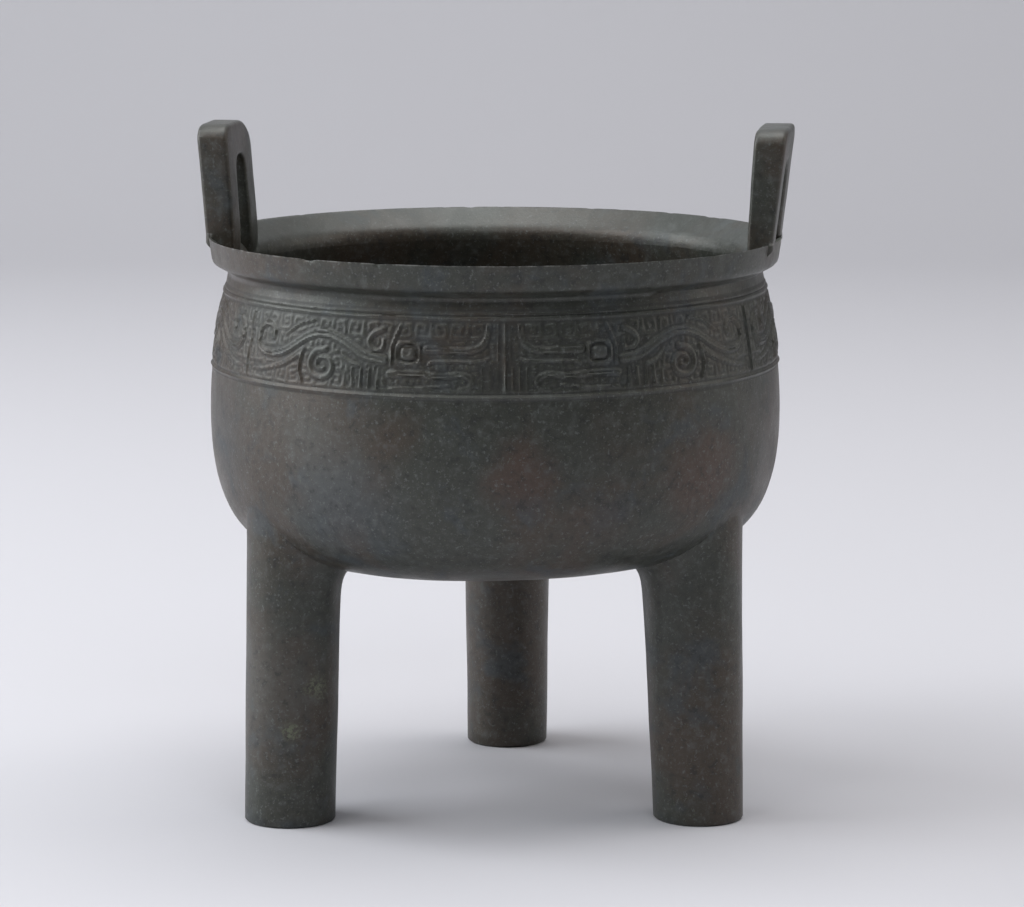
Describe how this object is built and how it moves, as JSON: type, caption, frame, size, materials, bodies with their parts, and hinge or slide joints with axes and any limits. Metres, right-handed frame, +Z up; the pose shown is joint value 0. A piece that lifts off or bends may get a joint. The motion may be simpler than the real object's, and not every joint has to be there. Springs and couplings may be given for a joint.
{
  "type": "bronze ding vessel",
  "caption": "Round cast bronze ding on three column legs, with two upright arch handles on its lip and a band of paired dragons in low relief.",
  "frame": {"origin": "middle of the outline in plan, on the floor under the feet", "axes": "+Z up; +X from one handle to the other, +Y towards the single rear leg"},
  "size_m": [0.1838, 0.1766, 0.2096],
  "materials": {
    "bronze": "satin"
  },
  "bodies": {
    "root": {"ding_vessel": "bronze"}
  },
  "joints": []
}
